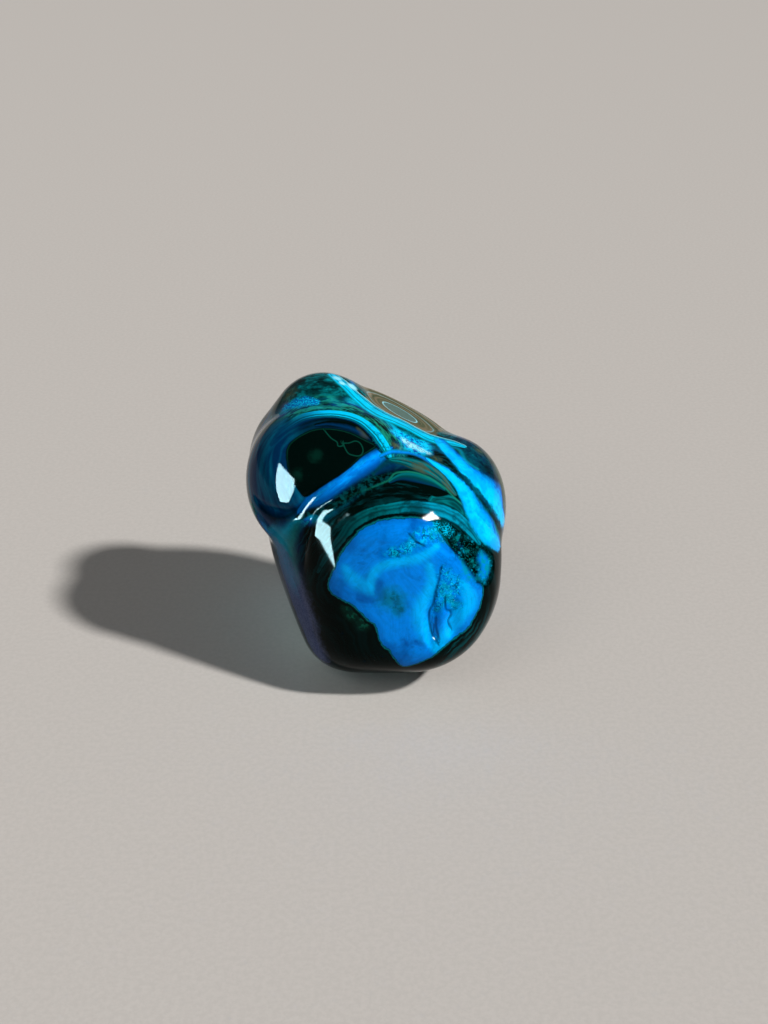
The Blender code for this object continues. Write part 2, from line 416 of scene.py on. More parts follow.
def grind(a, b, width):
    """Part of a body inside another one, with a rounded rim."""
    return -join(-a, -b, width)


def front_lobe(points):
    """Distance to the front lobe with its facets."""
    body = lump(points, *LOBES["front"])
    for place, facing, rim in FRONT_FACETS:
        body = grind(body, facet(points, place, facing), rim)
    return body


def eye_lobe(points):
    """Distance to the eye lobe with its facet."""
    place, facing, rim = EYE_FACET
    return grind(lump(points, *LOBES["eye"]), facet(points, place, facing), rim)


def creased(points, body):
    """Press the creases into a body."""
    body = body.copy()
    for reach, marks in CREASES:
        path = smooth_path(marks)
        low = path[:, :3].min(axis=0) - reach
        high = path[:, :3].max(axis=0) + reach
        rows = np.flatnonzero(((points > low) & (points < high)).all(axis=1))
        near = points[rows]
        nearest = np.full(len(rows), reach)
        depth = np.zeros(len(rows))
        for start, end in zip(path[:-1], path[1:]):
            step = end - start
            along = step[:3]
            share = np.clip((near - start[:3]) @ along / (along @ along), 0.0, 1.0)
            away = np.linalg.norm(near - start[:3] - share[:, None] * along, axis=1)
            closer = away < nearest
            nearest[closer] = away[closer]
            depth[closer] = start[3] + share[closer] * step[3]
        body[rows] += depth * (1.0 - nearest / reach) ** 2
    return body


def stone(points):
    """Distance from points, in the lobes' own frame, to the skin of the whole stone."""
    body = join(lump(points, *LOBES["core"]), front_lobe(points), FRONT_BLEND)
    for place, facing, rim in LOW_FACETS:
        body = grind(body, facet(points, place, facing), rim)
    body = join(body, lump(points, *LOBES["heel"]), BACK_BLEND)
    body = join(body, lump(points, *LOBES["hip"]), BACK_BLEND)
    body = join(body, eye_lobe(points), TOP_BLEND)
    body = join(body, lump(points, *LOBES["left_back"]), SIDE_BLEND)
    body = join(body, lump(points, *LOBES["crown"]), TOP_BLEND)
    place, facing, rim = DISC_FACET
    body = grind(body, facet(points, place, facing), rim)
    body = join(body, lump(points, *LOBES["brow"]), TOP_BLEND)
    body = join(body, lump(points, *LOBES["right"]), RIGHT_BLEND)
    for middle, halves, lean in PITS:
        body = grind(body, -lump(points, middle, halves, lean), PIT_RIM)
    return creased(points, body)


def cube_grid(cells):
    """Return unit directions over a cube's surface and the quads between them."""
    number_of = {}
    directions = []
    quads = []
    lines = [math.tan((2.0 * i / cells - 1.0) * math.pi / 4.0) for i in range(cells + 1)]

    def corner(index):
        """Return the number of a grid point, and keep its direction the first time."""
        if index not in number_of:
            number_of[index] = len(directions)
            directions.append([lines[i] for i in index])
        return number_of[index]

    for axis in range(3):
        for side in (0, cells):
            for i in range(cells):
                for j in range(cells):
                    loop = []
                    for a, b in ((i, j), (i + 1, j), (i + 1, j + 1), (i, j + 1)):
                        index = [0, 0, 0]
                        index[axis] = side
                        index[(axis + 1) % 3] = a
                        index[(axis + 2) % 3] = b
                        loop.append(corner(tuple(index)))
                    quads.append(loop if side else loop[::-1])
    directions = np.array(directions)
    return directions / np.linalg.norm(directions, axis=1, keepdims=True), quads


def pushed_out(directions):
    """Return where rays from the heart meet the skin."""
    heart = np.array(HEART)
    near = np.zeros(len(directions))
    looking = np.ones(len(directions), bool)
    for step in np.arange(STEP, REACH, STEP):
        rows = np.flatnonzero(looking)
        inside = stone(heart + directions[rows] * step) < 0.0
        near[rows[inside]] = step
        looking[rows[~inside]] = False
    far = near + STEP
    for _ in range(HALVINGS):
        half = 0.5 * (near + far)
        inside = stone(heart + directions * half[:, None]) < 0.0
        near = np.where(inside, half, near)
        far = np.where(inside, far, half)
    return heart + directions * near[:, None]


def view_axes():
    """Return the camera's place and its right, up and back axes in the lobes' frame."""
    angle = math.radians(ELEVATION)
    back = np.array((0.0, -math.cos(angle), math.sin(angle)))
    right = np.array((1.0, 0.0, 0.0))
    up = np.cross(back, right)
    return np.array(AIM) + back * DISTANCE, right, up, back


def focal_pixels():
    """Return the camera's focal length in pixels of the view."""
    return LENS / SENSOR * max(PHOTO)


def seen_at(points):
    """Return the pixels at which points of the lobes' frame are seen."""
    place, right, up, back = view_axes()
    away = points - place
    depth = -(away @ back)
    scale = focal_pixels() / depth
    across = PHOTO[0] / 2 + away @ right * scale
    down = PHOTO[1] / 2 - away @ up * scale
    return np.stack([across, down], axis=1)


def laid_on(tree, marks):
    """Return where the lines of sight of some pixels meet the stone."""
    place, right, up, back = view_axes()
    points = []
    for across, down in marks:
        sight = right * (across - PHOTO[0] / 2) - up * (down - PHOTO[1] / 2)
        sight = unit(sight - back * focal_pixels())
        hit = tree.ray_cast(Vector(place), Vector(sight))[0]
        if hit is None:
            hit = tree.find_nearest(Vector(place + sight * DISTANCE))[0]
        points.append(np.array(hit))
    return np.array(points)


def smooth_path(marks, closed=False, between=4):
    """Return marks with extra ones between them on a Catmull-Rom curve."""
    marks = np.asarray(marks, float)
    count = len(marks)
    spans = count if closed else count - 1
    path = []
    for i in range(spans):
        if closed:
            a, b, c, d = (marks[(i + k) % count] for k in (-1, 0, 1, 2))
        else:
            a, b, c, d = (marks[min(max(i + k, 0), count - 1)] for k in (-1, 0, 1, 2))
        for t in np.arange(between) / between:
            path.append(
                0.5 * (2 * b + (c - a) * t + (2 * a - 5 * b + 4 * c - d) * t ** 2
                       + (3 * b - a - 3 * c + d) * t ** 3)
            )
    if not closed:
        path.append(marks[-1])
    return np.array(path)


def to_path(points, path, widths=None):
    """Return the distance from points to a path, the side of it, and its width there."""
    best = np.full(len(points), FAR_AWAY)
    side = np.ones(len(points))
    width = np.ones(len(points))
    view = view_axes()[3]
    for number, (a, b) in enumerate(zip(path[:-1], path[1:])):
        along = b - a
        length = along @ along
        if length < TINY:
            continue
        share = np.clip((points - a) @ along / length, 0.0, 1.0)
        away = points - a - share[:, None] * along
        distance = np.linalg.norm(away, axis=1)
        nearer = distance < best
        best[nearer] = distance[nearer]
        side[nearer] = np.sign(away[nearer] @ np.cross(along, view) + TINY)
        if widths is not None:
            step = widths[number + 1] - widths[number]
            width[nearer] = widths[number] + share[nearer] * step
    return best, side, width


def inside_outline(pixels, outline):
    """True where a pixel is inside a closed outline."""
    inside = np.zeros(len(pixels), bool)
    x, y = pixels[:, 0], pixels[:, 1]
    for (x0, y0), (x1, y1) in zip(outline, np.roll(outline, -1, axis=0)):
        if y0 == y1:
            continue
        crosses = (y0 > y) != (y1 > y)
        inside ^= crosses & (x < (x1 - x0) * (y - y0) / (y1 - y0) + x0)
    return inside


def marking_distances(points, normals, tree):
    """Return every marking's field at each point of the stone, by name."""
    fields = {}
    pixels = seen_at(points)
    pixel = DISTANCE / focal_pixels()
    facing = normals @ view_axes()[3] > 0.0
    for name, marks in OUTLINES.items():
        outline = smooth_path(marks, closed=True)
        path = laid_on(tree, outline)
        distance = to_path(points, np.vstack([path, path[:1]]))[0]
        inside = inside_outline(pixels, outline) & facing
        fields[name] = np.where(inside, -distance, distance)
    for name, marks in BANDS.items():
        curve = smooth_path(marks)
        path = laid_on(tree, curve[:, :2])
        along = np.gradient(curve[:, :2], axis=0)
        across = np.stack([-along[:, 1], along[:, 0]], axis=1)
        across /= np.linalg.norm(across, axis=1, keepdims=True)
        halves = curve[:, 2:3]
        widths = []
        for turn in (-1.0, 1.0):
            edge = laid_on(tree, curve[:, :2] + turn * halves * across)
            width = np.linalg.norm(edge - path, axis=1)
            width = np.clip(width, halves[:, 0] * pixel, halves[:, 0] * pixel * STRETCH)
            widths.append(np.convolve(np.pad(width, 2, "edge"), np.ones(5) / 5, "valid"))
        distance, side, above = to_path(points, path, widths[0])
        below = to_path(points, path, widths[1])[2]
        share = np.clip(distance / np.where(side < 0.0, above, below), 0.0, FAR_SHARE)
        fields[name] = share * side
        fields[name + "_off"] = share
    for name, marks in SPOTS.items():
        places = laid_on(tree, [mark[:2] for mark in marks])
        share = np.full(len(points), FAR_SHARE)
        for place, mark in zip(places, marks):
            reach = np.linalg.norm(points - place, axis=1) / (mark[2] * pixel)
            share = np.minimum(share, reach)
        fields[name] = share
    for name, group in LINES.items():
        distance = np.full(len(points), FAR_AWAY)
        side = np.ones(len(points))
        for marks in group:
            one, its_side, _ = to_path(points, laid_on(tree, smooth_path(marks)))
            nearer = one < distance
            distance[nearer] = one[nearer]
            side[nearer] = its_side[nearer]
        fields[name] = distance * side
        fields[name + "_off"] = distance
    return fields


def lobe_fields(points):
    """Return how far each point is from the seams between lobes, and which lobe it is on."""
    bodies = {
        "front": np.minimum(lump(points, *LOBES["core"]), front_lobe(points)),
        "eye": eye_lobe(points),
    }
    for name in ("heel", "hip", "left_back", "crown", "brow", "right"):
        bodies[name] = lump(points, *LOBES[name])
    names = list(bodies)
    stack = np.stack([bodies[name] for name in names], axis=1)
    order = np.sort(stack, axis=1)
    fields = {"seam": order[:, 1] - order[:, 0]}
    for number, name in enumerate(names):
        others = np.delete(stack, number, axis=1).min(axis=1)
        fields["on_" + name] = stack[:, number] - others
    place, facing, _ = DISC_FACET
    fields["disc"] = facet(points, place, facing)
    centre = np.array(place)
    fields["ring_long"] = (points - centre) @ unit(LONG_AXIS)
    fields["ring_short"] = (points - centre) @ unit(SHORT_AXIS)
    return fields


def crust_relief(points, fields):
    """Return how far each point moves outward for the crystal crust and the cracks."""
    move = np.zeros(len(points))
    bed = np.minimum(fields["druse_bed"], np.minimum(fields["druse_arc"], fields["crystals"]))
    for row in np.flatnonzero(bed < BED_MARGIN):
        place = Vector(points[row])
        depth = min(max((BED_MARGIN - bed[row]) / BED_SLOPE, 0.0), 1.0)
        grains = noise.voronoi(place * GRAIN_DENSITY)[0][0] - GRAIN_LEVEL
        swell = noise.noise(place * SWELL_DENSITY)
        move[row] -= depth * (BED_DEPTH + GRAIN_HEIGHT * grains + SWELL_HEIGHT * swell)
    crack = np.clip(1.0 - fields["cracks_off"] / CRACK_HALF, 0.0, 1.0)
    return move - CRACK_DEPTH * crack * crack


def linear(red, green, blue):
    """Return a screen colour as scene-linear red, green and blue."""
    out = []
    for value in (red, green, blue):
        share = value / 255.0
        if share <= 0.04045:
            out.append(share / 12.92)
        else:
            out.append(((share + 0.055) / 1.055) ** 2.4)
    return tuple(out)


def named_colour(title, text, rgb):
    """Return a colour property with a name, a description and a default."""
    return FloatVectorProperty(
        name=title,
        description=text,
        subtype="COLOR",
        size=3,
        min=0.0,
        max=1.0,
        default=linear(*rgb),
    )


class StoneLook(bpy.types.PropertyGroup):
    """Sizes and colours of the stone."""

    cells: IntProperty(
        name="Grid", description="Cells along one side of the stone's grid",
        default=126, min=16, max=127,
    )
    gloss: FloatProperty(
        name="Polish Roughness", description="Roughness of the polished skin",
        default=0.055, min=0.0, max=1.0,
    )
    index: FloatProperty(
        name="Refraction", description="Index of refraction of the polish",
        default=1.13, min=1.0, max=2.0,
    )
    pale: named_colour("Pale Cyan", "Palest chrysocolla", (150, 225, 240))
    cyan: named_colour("Cyan", "Bright chrysocolla in the seams", (0, 194, 238))
    sky: named_colour("Sky", "Light veins of the blue face", (0, 172, 248))
    azure: named_colour("Azure", "Main blue of the chrysocolla", (0, 128, 228))
    blue: named_colour("Blue", "Deeper blue of the chrysocolla", (0, 84, 166))
    navy: named_colour("Navy", "Dark blue shading", (0, 42, 78))
    lagoon: named_colour("Lagoon", "Light blue-green bands", (0, 145, 178))
    teal: named_colour("Teal", "Blue-green bands", (0, 112, 118))
    deep_teal: named_colour("Deep Teal", "Dark blue-green bands", (0, 58, 62))
    green: named_colour("Malachite Green", "Light malachite lines", (22, 130, 105))
    dark: named_colour("Black Green", "Nearly black malachite", (0, 9, 7))
    # Olive is also laid as a painted sheen towards the right edge of the right lobe.
    olive: named_colour("Olive", "Brown-green copper ore", (68, 78, 55))
    # On the ground disc, brown and olive stand partly for a painted reflection: warm light
    # mirrored by the flat facet over dark green malachite.
    brown: named_colour("Brown", "Brown copper ore of the ground disc", (112, 102, 80))
    # Violet is also laid on the lower left flank as a painted reflection of the floor.
    violet: named_colour("Violet", "Grey-violet chrysocolla", (84, 94, 132))


class StageLook(bpy.types.PropertyGroup):
    """Light, floor and camera."""

    floor: named_colour("Floor", "Colour of the floor", (184, 178, 172))
    key: FloatProperty(
        name="Key Strength", description="Strength of the hard key light",
        default=4.2, min=0.0,
    )
    panel: FloatProperty(
        name="Panel Power", description="Power of the soft panel seen in the polish",
        default=9.0, min=0.0, unit="POWER",
    )
    glow: FloatProperty(
        name="Glow Power", description="Power of the soft light around the key in the polish",
        default=8.0, min=0.0, unit="POWER",
    )
    fill: FloatProperty(
        name="Fill Power", description="Power of the soft fill from the left",
        default=17.0, min=0.0, unit="POWER",
    )
    reach: FloatProperty(
        name="Floor Reach", description="Half size of the floor",
        default=1.6, min=0.2, unit="LENGTH",
    )


class Weave:
    """Adds shader nodes to a tree and returns their output sockets."""

    def __init__(self, tree):
        """Keep the tree that nodes are added to."""
        self.tree = tree

    def node(self, kind, **settings):
        """Add a node with its settings."""
        node = self.tree.nodes.new(kind)
        for name, value in settings.items():
            setattr(node, name, value)
        return node

    def put(self, socket, value):
        """Link a socket to an input, or set the input's own value."""
        if isinstance(value, bpy.types.NodeSocket):
            self.tree.links.new(value, socket)
        elif isinstance(value, (tuple, list)) and len(value) == 3 and socket.type == "RGBA":
            socket.default_value = (*value, 1.0)
        else:
            socket.default_value = value

    def math(self, operation, *values, clamp=False):
        """Add a math node."""
        node = self.node("ShaderNodeMath", operation=operation, use_clamp=clamp)
        for socket, value in zip(node.inputs, values):
            self.put(socket, value)
        return node.outputs[0]

    def vector(self, operation, *values, scale=None):
        """Add a vector math node."""
        node = self.node("ShaderNodeVectorMath", operation=operation)
        for socket, value in zip(node.inputs, values):
            self.put(socket, value)
        if scale is not None:
            self.put(node.inputs["Scale"], scale)
        return node.outputs[0]

    def add(self, a, b):
        """Sum of two values."""
        return self.math("ADD", a, b)

    def times(self, a, b):
        """Product of two values."""
        return self.math("MULTIPLY", a, b)

    def both(self, *masks):
        """Product of several masks."""
        out = masks[0]
        for mask in masks[1:]:
            out = self.times(out, mask)
        return out

    def shift(self, value, factor, offset):
        """A value times a factor plus an offset."""
        return self.math("MULTIPLY_ADD", value, factor, offset)

    def fade(self, value, start, end, low=0.0, high=1.0):
        """Smooth step of a value between start and end."""
        node = self.node("ShaderNodeMapRange", interpolation_type="SMOOTHSTEP")
        for number, item in enumerate((value, start, end, low, high)):
            self.put(node.inputs[number], item)
        return node.outputs[0]

    def within(self, value, middle, half, soft):
        """Mask of a band about a middle value."""
        away = self.math("ABSOLUTE", self.math("SUBTRACT", value, middle))
        return self.fade(away, half + soft, max(half - soft, 0.0))

    def mix(self, mask, under, over, strength=None, blend="MIX"):
        """Lay a colour over another by a mask, at a strength where one is given."""
        if strength is not None:
            mask = self.times(mask, strength)
        node = self.node("ShaderNodeMix", data_type="RGBA", blend_type=blend)
        self.put(node.inputs[0], mask)
        self.put(node.inputs[6], under)
        self.put(node.inputs[7], over)
        return node.outputs[2]

    def blend(self, mask, a, b):
        """Blend two values by a mask."""
        node = self.node("ShaderNodeMix", data_type="FLOAT")
        self.put(node.inputs[0], mask)
        self.put(node.inputs[2], a)
        self.put(node.inputs[3], b)
        return node.outputs[0]

    def ramp(self, value, stops, ease="LINEAR"):
        """Colour ramp with stops of place and colour."""
        node = self.node("ShaderNodeValToRGB")
        self.put(node.inputs[0], value)
        band = node.color_ramp
        band.interpolation = ease
        while len(band.elements) > 1:
            band.elements.remove(band.elements[-1])
        for number, (place, colour) in enumerate(stops):
            element = band.elements[0] if number == 0 else band.elements.new(place)
            element.position = place
            element.color = (*colour, 1.0)
        return node.outputs[0]

    def noise(self, place, scale, detail=2.0, rough=0.5, warp=0.0):
        """Noise value about one half."""
        node = self.node("ShaderNodeTexNoise")
        self.put(node.inputs["Vector"], place)
        self.put(node.inputs["Scale"], scale)
        self.put(node.inputs["Detail"], detail)
        self.put(node.inputs["Roughness"], rough)
        self.put(node.inputs["Distortion"], warp)
        return node.outputs["Fac"]

    def bump(self, shader, height, strength):
        """Raise a shader's surface a little by a height."""
        node = self.node("ShaderNodeBump")
        self.put(node.inputs["Strength"], strength)
        self.put(node.inputs["Distance"], BUMP_REACH * MM)
        self.put(node.inputs["Height"], height)
        self.put(shader.inputs["Normal"], node.outputs["Normal"])

    def cells(self, place, scale, distance="EUCLIDEAN"):
        """Add a pattern of cells and return its outputs."""
        node = self.node("ShaderNodeTexVoronoi", distance=distance)
        self.put(node.inputs["Vector"], place)
        self.put(node.inputs["Scale"], scale)
        return node.outputs

    def field(self, name):
        """A marking's distance at the point."""
        node = self.node("ShaderNodeAttribute", attribute_name=name)
        return node.outputs["Fac"]

    def mark(self, name, start, end):
        """Mask from a marking's distance, between start and end."""
        return self.fade(self.field(name), start, end)


def new_material(name):
    """Return a new material, its shader and its node tree."""
    material = bpy.data.materials.new(name)
    material.use_nodes = True
    tree = material.node_tree
    return material, tree.nodes["Principled BSDF"], tree


def strata_group():
    """Shader group: uneven fine layers that follow a distance."""
    tree = bpy.data.node_groups.new("strata", "ShaderNodeTree")
    for name, default in (("Distance", 0.0), ("Density", 1.0), ("Drift", 0.15)):
        socket = tree.interface.new_socket(name, in_out="INPUT", socket_type="NodeSocketFloat")
        socket.default_value = default
    tree.interface.new_socket("Place", in_out="INPUT", socket_type="NodeSocketVector")
    tree.interface.new_socket("Layers", in_out="OUTPUT", socket_type="NodeSocketFloat")
    weave = Weave(tree)
    source = weave.node("NodeGroupInput").outputs
    sink = weave.node("NodeGroupOutput")
    climb = weave.node("ShaderNodeCombineXYZ")
    weave.put(climb.inputs["Z"], weave.times(source["Distance"], source["Density"]))
    slow = weave.vector("SCALE", source["Place"], scale=source["Drift"])
    total = weave.vector("ADD", slow, climb.outputs[0])
    weave.put(sink.inputs["Layers"], weave.noise(total, 1.0, 2.0, 0.6))
    return tree


def strata(weave, distance, density, place, drift=0.15, low=0.40, high=0.60):
    """Place the strata group and return its layers, sharpened between two levels."""
    group = bpy.data.node_groups.get("strata") or strata_group()
    node = weave.node("ShaderNodeGroup", node_tree=group)
    weave.put(node.inputs["Distance"], distance)
    weave.put(node.inputs["Density"], density)
    weave.put(node.inputs["Drift"], drift)
    weave.put(node.inputs["Place"], place)
    return weave.fade(node.outputs["Layers"], low, high)


class StoneShade(Weave):
    """The stone's colour, built up from its ground to its finest marks."""

    def __init__(self, tree, look):
        """Set up the colours and the shared noises."""
        super().__init__(tree)
        for name in (
            "pale", "cyan", "sky", "azure", "blue", "navy", "lagoon", "teal", "deep_teal",
            "green", "dark", "olive", "brown", "violet",
        ):
            setattr(self, name, tuple(getattr(look, name)))
        coordinates = self.node("ShaderNodeTexCoord").outputs["Object"]
        self.place = self.vector("SCALE", coordinates, scale=1.0 / MM)
        parts = self.node("ShaderNodeSeparateXYZ")
        self.put(parts.inputs[0], self.place)
        self.x, self.y, self.z = parts.outputs
        for name, settings in NOISES.items():
            setattr(self, name, self.noise(self.place, *settings))
        drawn = self.vector("MULTIPLY", self.place, DRAWN_STRETCH)
        self.drawn = self.noise(drawn, *DRAWN_NOISE)

    def wavy(self, name, wide=0.5, narrow=0.2):
        """A field moved about by the middle and the fine noise."""
        value = self.field(name) if isinstance(name, str) else name
        value = self.shift(self.add(self.middle, -0.5), wide * 2.0, value)
        return self.shift(self.add(self.fine, -0.5), narrow * 2.0, value)

    def layers(self, distance, density, drift=0.15, low=0.40, high=0.60):
        """Uneven fine layers that follow a distance."""
        return strata(self, distance, density, self.place, drift, low, high)

    def band(self, under, name, stops, edge=0.25, wide=0.15, narrow=0.12, strength=1.0):
        """Lay a band with a ramp across it over a colour."""
        value = self.wavy(name, wide, narrow)
        across = self.shift(value, 0.5, 0.5)
        paint = self.ramp(across, stops)
        off = self.wavy(name + "_off", wide, narrow)
        mask = self.fade(off, 1.0 + edge, 1.0 - edge)
        return self.mix(mask, under, paint, strength)

    def spots(self, under, name, colour, soft=0.6, strength=1.0, wide=0.4, narrow=0.3):
        """Lay soft spots over a colour."""
        value = self.wavy(name, wide, narrow)
        mask = self.fade(value, 1.0 + soft, 1.0 - soft)
        return self.mix(mask, under, colour, strength)

    def line(self, under, name, colour, half=0.2, soft=0.15, strength=1.0):
        """Lay a thin line over a colour."""
        across = self.math("ABSOLUTE", self.field(name))
        mask = self.times(
            self.fade(across, half + soft, max(half - soft, 0.0)),
            self.mark(name + "_off", 0.8, 0.5),
        )
        return self.mix(mask, under, colour, strength)

    def shards(self, scale):
        """A random value for each angular grain."""
        twist = self.node("ShaderNodeTexNoise")
        self.put(twist.inputs["Vector"], self.place)
        self.put(twist.inputs["Scale"], TWIST_DENSITY)
        reach = (TWIST_REACH,) * 3
        bent = self.vector("MULTIPLY_ADD", twist.outputs["Color"], reach, self.place)
        grains = self.cells(bent, scale, "MANHATTAN")
        return self.shift(grains["Color"], 1.4, -0.2)

    def on(self, lobe, start=0.6, end=-1.0):
        """Mask of one lobe, with a soft edge along its seams."""
        return self.mark("on_" + lobe, start, end)

    def ground(self):
        """Bright seams and dark lobe tops, as all over the back and the sides."""
        seam = self.wavy("seam", 1.8, 0.5)
        seam = self.shift(self.add(self.broad, -0.5), 7.0, seam)
        colour = self.ramp(
            self.times(seam, 1.0 / 16.0),
            (
                (0.00, self.cyan), (0.06, self.azure), (0.12, self.blue), (0.16, self.navy),
                (0.19, self.teal), (0.22, self.deep_teal), (0.245, self.green),
                (0.27, self.deep_teal), (0.36, self.dark), (0.50, self.dark),
                (0.53, self.teal), (0.56, self.dark), (0.74, self.dark), (0.88, self.olive),
                (1.0, self.brown),
            ),
        )
        lines = self.layers(seam, 1.5)
        colour = self.mix(lines, colour, self.deep_teal, 0.55)
        glow = self.both(self.layers(seam, 0.9, 0.2, 0.55, 0.66), self.fade(seam, 6.0, 1.0))
        return self.mix(glow, colour, self.cyan, 0.7)

    def front(self, under):
        """Dark front lobe, with faint layers that follow the blue face."""
        face = self.wavy("blue_face", 0.7, 0.3)
        layers = self.layers(face, 1.1, 0.2, 0.45, 0.62)
        strength = self.math(
            "MAXIMUM", self.fade(self.z, 22.0, 42.0, 0.06, 0.7),
            self.both(self.fade(self.x, 8.0, 16.0), self.fade(self.z, 26.0, 16.0), 0.9),
        )
        shade = self.mix(layers, self.dark, self.deep_teal, strength)
        mask = self.times(self.on("front", 0.8, -1.5), self.fade(face, 34.0, 26.0))
        colour = self.mix(mask, under, shade)
        colour = self.band(
            colour, "flank_teal",
            ((0.0, self.navy), (0.3, self.teal), (0.6, self.lagoon), (1.0, self.navy)),
            0.6, 0.3, 0.15, 0.7,
        )
        # Painted reflection: grainy grey-violet over the lower left flank stands for the floor
        # seen in the polish.
        violet = self.times(
            self.fade(self.wavy("flank_violet_off", 0.4, 0.4), 1.6, 0.5),
            self.fade(self.grit, 0.30, 0.60, 0.4, 0.75),
        )
        colour = self.mix(violet, colour, self.violet)
        moss = self.both(
            self.fade(self.wavy("moss", 0.9, 0.8), 1.6, 0.4), self.fade(self.fine, 0.50, 0.62)
        )
        return self.mix(moss, colour, self.green, 0.22)

    def top(self, under):
        """Mottled brow and the blue-green slope below the ground disc."""
        mottle = self.mix(self.fade(self.drawn, 0.40, 0.62), self.deep_teal, self.teal)
        mottle = self.mix(self.fade(self.middle, 0.56, 0.36, 0.0, 0.85), mottle, self.dark)
        mask = self.math("MAXIMUM", self.on("brow"), self.on("crown"))
        mask = self.times(mask, self.fade(self.y, 26.0, 18.0))
        colour = self.mix(mask, under, mottle)
        arc = self.field("eye_arc")
        fibre = self.layers(arc, 2.2, 0.35, 0.42, 0.58)
        near = self.both(
            self.fade(arc, 0.0, -1.0), self.mark("eye_arc_off", 5.5, 3.2),
            self.fade(self.x, -24.0, -18.0),
        )
        fibres = self.mix(fibre, self.dark, self.green)
        colour = self.mix(near, colour, fibres, 0.8)
        # Painted sheen: the right lobe's dark dome turns olive towards its right edge.
        dome = self.mix(self.fade(self.fine, 0.3, 0.7), self.dark, self.deep_teal)
        painted_sheen = self.fade(self.wavy(self.x, 1.5, 0.8), 24.5, 28.0)
        dome = self.mix(painted_sheen, dome, self.olive, 0.7)
        crown_side = self.math("MAXIMUM", self.on("right", 1.2, -0.1), self.on("hip", 0.5, -0.8))
        mask = self.both(crown_side, self.fade(self.y, 18.0, 8.0))
        colour = self.mix(mask, colour, dome, 0.92)
        colour = self.spots(colour, "violets", self.violet, 0.7, 0.7)
        rust = self.mix(self.fade(self.fine, 0.36, 0.56), self.deep_teal, self.olive)
        colour = self.spots(colour, "browns", rust, 0.8, 0.85, 0.8, 0.8)
        colour = self.spots(colour, "inks", self.dark, 0.8, 0.8)
        sage = self.mix(self.fade(self.middle, 0.4, 0.6), self.deep_teal, self.olive)
        mask = self.both(
            self.fade(self.x, -19.0, -22.0), self.fade(self.y, -2.0, 1.0),
            self.fade(self.z, 40.0, 44.0),
        )
        colour = self.mix(mask, colour, sage, 0.75)
        specks = self.fade(self.grit, 0.46, 0.60)
        patch = self.mix(specks, self.blue, self.cyan)
        mask = self.fade(self.wavy("brow_blue_off", 0.5, 0.7), 1.4, 0.5)
        return self.mix(mask, colour, patch, 0.85)

    def eye(self, under):
        """Blue lobe with the dark eye."""
        distance = self.field("eye")
        layers = self.layers(distance, 0.42, 0.12, 0.38, 0.62)
        blues = self.mix(layers, self.navy, self.lagoon, 0.30)
        top = self.times(self.fade(self.z, 51.5, 54.5), self.fade(self.x, -21.0, -14.0))
        blues = self.mix(top, blues, self.dark, 0.85)
        fibre = self.layers(distance, 2.2, 0.2, 0.35, 0.65)
        blues = self.mix(fibre, blues, self.navy, 0.35)
        inner = self.mark("eye_arc", -0.6, 0.0)
        beside = self.times(self.fade(self.x, -17.5, -20.0), self.fade(self.y, 2.0, -1.5))
        inner = self.math("MAXIMUM", inner, beside)
        mask = self.both(self.on("eye", 0.4, -0.4), self.fade(distance, 15.0, 12.0), inner)
        colour = self.mix(mask, under, blues)
        # Painted shade: navy to near black in the hollow under the eye lobe.
        colour = self.band(
            colour, "hollow", ((0.0, self.navy), (0.5, self.dark), (1.0, self.navy)),
            0.6, 0.2, 0.1, 0.8,
        )
        beneath = self.both(
            self.mark("azure", 0.0, 0.6),
            self.mark("azure_off", 2.8, 2.0), self.fade(self.y, -6.0, -9.0),
        )
        mottle = self.mix(self.fade(self.fine, 0.42, 0.62), self.dark, self.deep_teal)
        colour = self.mix(beneath, colour, mottle)
        colour = self.band(
            colour, "azure",
            (
                (0.0, self.navy), (0.14, self.blue), (0.36, self.azure), (0.5, self.azure),
                (0.72, self.blue), (1.0, self.navy),
            ),
            0.4, 0.16, 0.10,
        )
        streaks = self.layers(self.field("azure"), 2.2, 0.25, 0.45, 0.65)
        near = self.mark("azure_off", 0.9, 0.3)
        colour = self.mix(self.both(streaks, near, 0.45), colour, self.sky)
        furrows = self.layers(self.field("azure"), 3.1, 0.35, 0.50, 0.66)
        colour = self.mix(self.both(furrows, near, 0.45), colour, self.blue)
        tail = self.times(near, self.fade(self.x, -6.0, -13.0))
        colour = self.mix(tail, colour, self.navy, 0.6)
        colour = self.band(
            colour, "crescent",
            ((0.0, self.dark), (0.35, self.dark), (0.7, self.navy), (1.0, self.dark)),
            0.4, 0.2, 0.15,
        )
        colour = self.spots(colour, "ember", self.olive, 0.8, 0.6, 0.4, 0.4)
        edge = self.wavy(distance, 0.12, 0.06)
        colour = self.mix(self.fade(edge, 0.2, -0.1), colour, self.dark)
        rim = self.both(self.within(edge, -0.25, 0.12, 0.12), self.fade(self.z, 50.0, 54.0))
        colour = self.mix(rim, colour, self.green, 0.1)
        colour = self.line(colour, "veins", self.green, 0.07, 0.16, 0.20)
        glow = self.times(self.fade(self.wavy("moss", 1.2, 1.0), 2.0, 0.2), 0.06)
        colour = self.mix(glow, colour, self.green)
        colour = self.band(
            colour, "eye_arc",
            (
                (0.0, self.teal), (0.07, self.cyan), (0.18, self.sky), (0.27, self.cyan),
                (0.38, self.lagoon), (0.44, self.deep_teal), (0.50, self.cyan),
                (0.57, self.lagoon), (0.62, self.navy), (0.69, self.teal), (0.78, self.navy),
                (0.9, self.dark), (1.0, self.dark),
            ),
            0.16, 0.09, 0.09, self.fade(self.x, -20.5, -12.0),
        )
        flecks = self.fade(self.fine, 0.50, 0.36)
        on_arc = self.mark("eye_arc_off", 1.1, 0.7)
        flecks = self.both(flecks, on_arc, self.fade(self.x, -4.0, 2.0))
        colour = self.mix(flecks, colour, self.teal, 0.8)
        left = self.both(on_arc, self.fade(self.x, -9.0, -16.0))
        return self.mix(left, colour, self.navy, 0.6)

